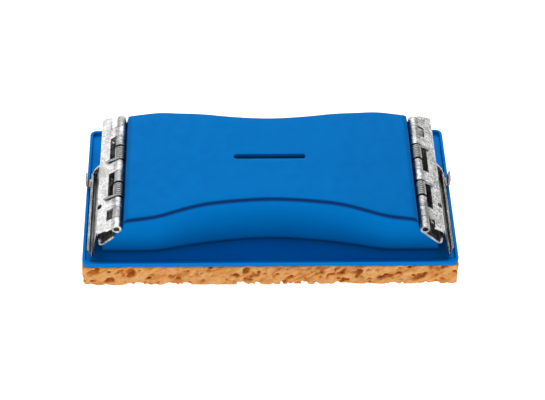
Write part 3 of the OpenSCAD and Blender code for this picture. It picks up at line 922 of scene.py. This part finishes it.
# ---------------------------------------------------------------- sponge
SPONGE_X = (sponge_high[0] - sponge_low[0]) / 2
SPONGE_Y = (sponge_high[1] - sponge_low[1]) / 2
SPONGE_LOW, SPONGE_TOP = sponge_low[2], sponge_high[2]
TRIANGLE_LIMIT, TRIANGLE_AIM = 188000, 186000

# pores per cm2 of surface, then ranges of their long, short and depth radii
PORES = [
    (0.75, (2.4, 4.0), (1.0, 1.6), (1.1, 2.2)),
    (3.0, (1.4, 2.6), (0.6, 1.0), (0.7, 1.4)),
    (6.5, (0.7, 1.4), (0.40, 0.66), (0.5, 0.9)),
    (6.0, (0.42, 0.7), (0.34, 0.5), (0.35, 0.6)),
]


def surface_nets(field, axes):
    """Vertices and quads around the zero level of field (inside negative) on a grid."""
    inside = field < 0
    nx, ny, nz = field.shape
    corners = [(a, b, c) for a in (0, 1) for b in (0, 1) for c in (0, 1)]
    count = np.zeros((nx - 1, ny - 1, nz - 1), np.int8)
    for a, b, c in corners:
        count += inside[a : nx - 1 + a, b : ny - 1 + b, c : nz - 1 + c]
    active = (count > 0) & (count < 8)
    cells = np.nonzero(active)
    ids = -np.ones(active.shape, np.int64)
    ids[cells] = np.arange(len(cells[0]))

    def sample(corner):
        at = tuple(cell + step for cell, step in zip(cells, corner))
        return field[at], np.stack([axis[i] for axis, i in zip(axes, at)], 1)

    # one vertex per active cell, at the mean of the crossings on its edges
    total = np.zeros((len(cells[0]), 3))
    crossings = np.zeros(len(cells[0]))
    for near in corners:
        for axis in range(3):
            if near[axis]:
                continue
            far = list(near)
            far[axis] = 1
            f0, p0 = sample(near)
            f1, p1 = sample(far)
            cross = (f0 < 0) != (f1 < 0)
            t = np.where(cross, f0 / np.where(cross, f0 - f1, 1), 0)
            total += np.where(cross[:, None], p0 + (p1 - p0) * t[:, None], 0)
            crossings += cross

    # one quad round each grid edge that crosses the surface
    quads = []
    for axis in range(3):
        first, second = [slice(None)] * 3, [slice(None)] * 3
        first[axis], second[axis] = slice(0, -1), slice(1, None)
        starts_inside = inside[tuple(first)]
        change = starts_inside != inside[tuple(second)]
        u, w = [k for k in range(3) if k != axis]
        for k in (u, w):
            for end in (0, -1):
                border = [slice(None)] * 3
                border[k] = end
                change[tuple(border)] = False
        edges = np.array(np.nonzero(change))
        around = []
        for du, dw in ((-1, -1), (0, -1), (0, 0), (-1, 0)):
            cell = edges.copy()
            cell[u] += du
            cell[w] += dw
            around.append(ids[tuple(cell)])
        quad = np.stack(around, 1)
        keep = starts_inside[tuple(edges)]
        if axis == 1:
            keep = ~keep
        quad[~keep] = quad[~keep][:, ::-1]
        quads.append(quad)
    return total / crossings[:, None], np.concatenate(quads)


def sponge_distance(x, y, z):
    """Signed distance to the plain pad, with rounded corners and edges."""
    corner, edge = 1.2, 0.45

    def rounded(a, b):
        outside = np.hypot(np.maximum(a, 0), np.maximum(b, 0))
        return outside + np.minimum(np.maximum(a, b), 0)

    plan = rounded(np.abs(x) - (SPONGE_X - corner), np.abs(y) - (SPONGE_Y - corner)) - corner
    middle, half = (SPONGE_LOW + SPONGE_TOP) / 2, (SPONGE_TOP - SPONGE_LOW) / 2
    return rounded(plan + edge, np.abs(z - middle) - half + edge) - edge


def wobble(grid, seed, wavelength, waves=7):
    """Smooth random field of about unit size."""
    rng = np.random.default_rng(seed)
    x, y, z = grid
    out = np.zeros_like(x)
    for _ in range(waves):
        d = rng.normal(size=3)
        d *= 2 * math.pi / (wavelength * rng.uniform(0.7, 1.5)) / np.linalg.norm(d)
        out += np.sin(d[0] * x + d[1] * y + d[2] * z + rng.uniform(0, 6.28))
    return out / math.sqrt(waves / 2)


def side_pore(rng, short, inset):
    """Centre, long axis and inward axis of a pore on one of the four sides."""
    hx, hy = SPONGE_X, SPONGE_Y
    s = rng.uniform(0, 4 * (hx + hy))  # distance round the outline
    z = rng.uniform(SPONGE_LOW - 0.6, SPONGE_TOP - 0.35 * short)
    tilt = rng.normal(0.55, 0.28)
    if s < 4 * hx:
        x = rng.uniform(-hx, hx)
        sign = -1 if s < 2 * hx else 1
        return ((x, sign * (hy - inset), z), (math.cos(tilt), 0, math.sin(tilt)), (0, 1.0, 0))
    y = rng.uniform(-hy, hy)
    sign = -1 if s < 4 * hx + 2 * hy else 1
    return ((sign * (hx - inset), y, z), (0, math.cos(tilt), math.sin(tilt)), (1.0, 0, 0))


def bottom_pore(rng, short, inset):
    """The same for a pore in the underside."""
    angle = rng.uniform(0, math.pi)
    x = rng.uniform(-SPONGE_X, SPONGE_X)
    y = rng.uniform(-SPONGE_Y, SPONGE_Y)
    return (x, y, SPONGE_LOW + inset), (math.cos(angle), math.sin(angle), 0), (0, 0, 1.0)


def pore_field(grid, axes, step):
    """Distance to the nearest pore, negative inside it."""
    rng = np.random.default_rng(11)
    warps = [0.35 * wobble(grid, seed, 3.2) for seed in (5, 6, 7)]
    holes = np.full_like(grid[0], 9.0)
    side_area = 4 * (SPONGE_X + SPONGE_Y) * (SPONGE_TOP - SPONGE_LOW) / 100
    bottom_area = 4 * SPONGE_X * SPONGE_Y / 100
    for density, *ranges in PORES:
        for place, area in ((side_pore, side_area), (bottom_pore, bottom_area)):
            for _ in range(int(density * area)):
                radii = [rng.uniform(*bounds) for bounds in ranges]
                inset = rng.uniform(-0.3, 0.7) * radii[2] * 0.8
                centre, long_axis, in_axis = place(rng, radii[1], inset)
                frame = (long_axis, np.cross(in_axis, long_axis), in_axis)
                reach = max(radii) + 2.2 * step + 0.7
                window = tuple(slice(*np.searchsorted(axis, (c - reach, c + reach)))
                               for axis, c in zip(axes, centre))
                offset = [g[window] + w[window] - c for g, w, c in zip(grid, warps, centre)]
                squares = sum((sum(o * c for o, c in zip(offset, axis)) / radius) ** 2
                              for axis, radius in zip(frame, radii))
                distance = (np.sqrt(squares) - 1) * min(radii)
                np.minimum(holes[window], distance, out=holes[window])
    # the top stays whole under the tray
    x, y, z = grid
    whole = (z > SPONGE_TOP - 0.9) & (np.abs(x) < SPONGE_X - 3.5) & (np.abs(y) < SPONGE_Y - 3.5)
    holes[whole] = 9.0
    return holes


def drop_loose_parts(bm):
    """Keep only the largest connected part."""
    seen, parts = set(), []
    for first in bm.verts:
        if first in seen:
            continue
        stack, part = [first], []
        seen.add(first)
        while stack:
            vert = stack.pop()
            part.append(vert)
            for edge in vert.link_edges:
                other = edge.other_vert(vert)
                if other not in seen:
                    seen.add(other)
                    stack.append(other)
        parts.append(part)
    largest = max(parts, key=len)
    loose = [vert for part in parts if part is not largest for vert in part]
    if loose:
        bmesh.ops.delete(bm, geom=loose, context="VERTS")


def build_sponge():
    step = 0.52
    spans = ((-SPONGE_X, SPONGE_X), (-SPONGE_Y, SPONGE_Y), (SPONGE_LOW, SPONGE_TOP))
    axes = [np.arange(low - 2 * step, high + 2.01 * step, step) for low, high in spans]
    grid = np.meshgrid(*axes, indexing="ij")
    # ragged low down, and gently uneven all over
    ragged = np.clip(wobble(grid, 8, 7.0) + 0.7 * wobble(grid, 9, 3.5) - 0.35, 0, 1.6)
    ragged = ragged * np.clip(1 - (grid[2] - SPONGE_LOW) / 2.2, 0, 1)
    body = sponge_distance(*grid) + 0.42 * ragged
    for amount, seed, wavelength in ((0.10, 3, 5.0), (0.05, 4, 2.2)):
        body = body + amount * (1 + np.clip(wobble(grid, seed, wavelength), -1, 1))
    field = np.maximum(body, -pore_field(grid, axes, step))
    verts, quads = surface_nets(field, axes)
    sponge = mesh_object("sponge_sole", verts, quads)
    depth = np.clip(-sponge_distance(*verts.T) - 0.18, 0, 3.0) / 2.6
    attribute = sponge.data.attributes.new("depth", "FLOAT", "POINT")
    attribute.data.foreach_set("value", depth.astype(np.float32))
    triangles = 2 * len(quads)
    if triangles > TRIANGLE_LIMIT:
        sponge.modifiers.new("thin", "DECIMATE").ratio = TRIANGLE_AIM / triangles
        bake_modifiers(sponge)
    with edit_mesh(sponge) as bm:
        for face in bm.faces:
            face.smooth = True
        drop_loose_parts(bm)
    paint(sponge, M_SPONGE)
    stand_in(sponge, "sponge_pad")


build_sponge()


# ---------------------------------------------------------------- adhesive film
def build_glue():
    """Thin rounded slab between tray and sponge with a slightly uneven edge."""
    half_x, half_y = (glue_high[0] - glue_low[0]) / 2, (glue_high[1] - glue_low[1]) / 2
    low, top = glue_low[2], glue_high[2]
    n = 220
    squareness = 0.12  # exponent of the superellipse; smaller is squarer
    outline = []
    for k in range(n):
        a = 2 * math.pi * k / n
        c, s = math.cos(a), math.sin(a)
        x = half_x * math.copysign(abs(c) ** squareness, c)
        y = half_y * math.copysign(abs(s) ** squareness, s)
        ripple = math.sin(9 * a) + math.sin(23 * a + 1) + 0.6 * math.sin(61 * a + 2)
        out = 0.25 * ripple - 0.5
        outline.append((x + out * np.sign(c) * 0.4, y + out * np.sign(s) * 0.4))
    # scale of the outline, z
    rings = [(0.985, low + 0.01), (0.995, low + 0.04), (0.997, (low + top) / 2),
             (0.995, top - 0.04), (0.985, top - 0.01)]
    verts = [(x * scale, y * scale, z) for scale, z in rings for x, y in outline]
    faces = ring_sides(n, len(rings)) + ring_caps(n, len(rings))
    film = mesh_object("adhesive_film", verts, faces)
    smooth_below(film, 40)
    paint(film, M_GLUE)
    stand_in(film, "adhesive_sheet")


build_glue()


# ---------------------------------------------------------------- floor, light, camera
def build_stage():
    """White floor that also glows a little."""
    size = 3000
    corners = [(-size, -size, 0), (size, -size, 0), (size, size, 0), (-size, size, 0)]
    floor = mesh_object("floor", corners, [(0, 1, 2, 3)])
    t = Material("floor_white")
    cloud = t.remap(t.noise(scale=3.0, detail=2.0), span=(0.3, 0.7))
    col = t.mix((0.74, 0.74, 0.74), (0.76, 0.76, 0.76), cloud)
    paint(floor, t.put(Base_Color=col, Roughness=0.9, Specular_IOR_Level=0.0,
                       Emission_Color=(1, 1, 1), Emission_Strength=0.86))


def build_world():
    """Soft boxes above and in front, paler walls left and right, dim round the camera."""
    world = bpy.data.worlds.new("studio")
    scene.world = world
    t = Nodes(world)
    view = t.node("TexCoord").outputs["Generated"]

    def glow(direction, span, to):
        """Strength rising as the view nears a direction; span is in cosines."""
        facing = t.dot(view, Vector(direction).normalized())
        return t.remap(facing, span=span, to=to, ease="SMOOTHSTEP")

    above = glow(BOX_ABOVE, span=(0.80, 0.95), to=(0.0, 2.1))
    left = glow((-0.80, 0.52, 0.30), span=(0.55, 0.95), to=(0.0, 0.50))
    right = glow((0.86, 0.42, 0.30), span=(0.60, 0.95), to=(0.0, 0.20))
    front = glow(BOX_FRONT, span=(0.80, 0.97), to=(0.44, 3.3))
    light = t.math("ADD", t.math("ADD", above, left), t.math("ADD", right, front))
    dim = glow((-0.04, -0.70, 0.71), span=(0.86, 0.98), to=(1.0, 0.35))
    sky = t.node("Background", {"Strength": t.times(light, dim), "Color": (1.0, 1.0, 1.0)})
    t.node("OutputWorld", {0: sky.outputs[0]})


def build_camera():
    """Long lens looking down from the front at the middle of the tray's rim."""
    yaw, elevation, roll = math.radians(-2.408), math.radians(45.025), math.radians(1.423)
    distance = 813.2
    back = Vector((math.sin(yaw) * math.cos(elevation), -math.cos(yaw) * math.cos(elevation),
                   math.sin(elevation)))
    forward = -back
    right = forward.cross(Vector((0, 0, 1))).normalized()
    up = right.cross(forward)
    rolled_right = math.cos(roll) * right + math.sin(roll) * up
    rolled_up = -math.sin(roll) * right + math.cos(roll) * up
    data = bpy.data.cameras.new("camera")
    data.sensor_fit = "HORIZONTAL"
    data.sensor_width = 36
    data.lens = 118.48954
    data.shift_x = 0.00693578
    data.shift_y = -0.01121101
    data.clip_end = 20
    camera = link(bpy.data.objects.new("camera", data))
    pose = Matrix((rolled_right, rolled_up, back)).transposed().to_4x4()
    pose.translation = back * distance * MM + Vector((0, 0, RIM_Z * MM))
    camera.matrix_world = pose
    scene.camera = camera


build_stage()
build_world()
build_camera()
scene.view_settings.view_transform = "Standard"
scene.view_settings.look = "None"
scene.view_settings.exposure = 0.0
scene.view_settings.gamma = 1.0
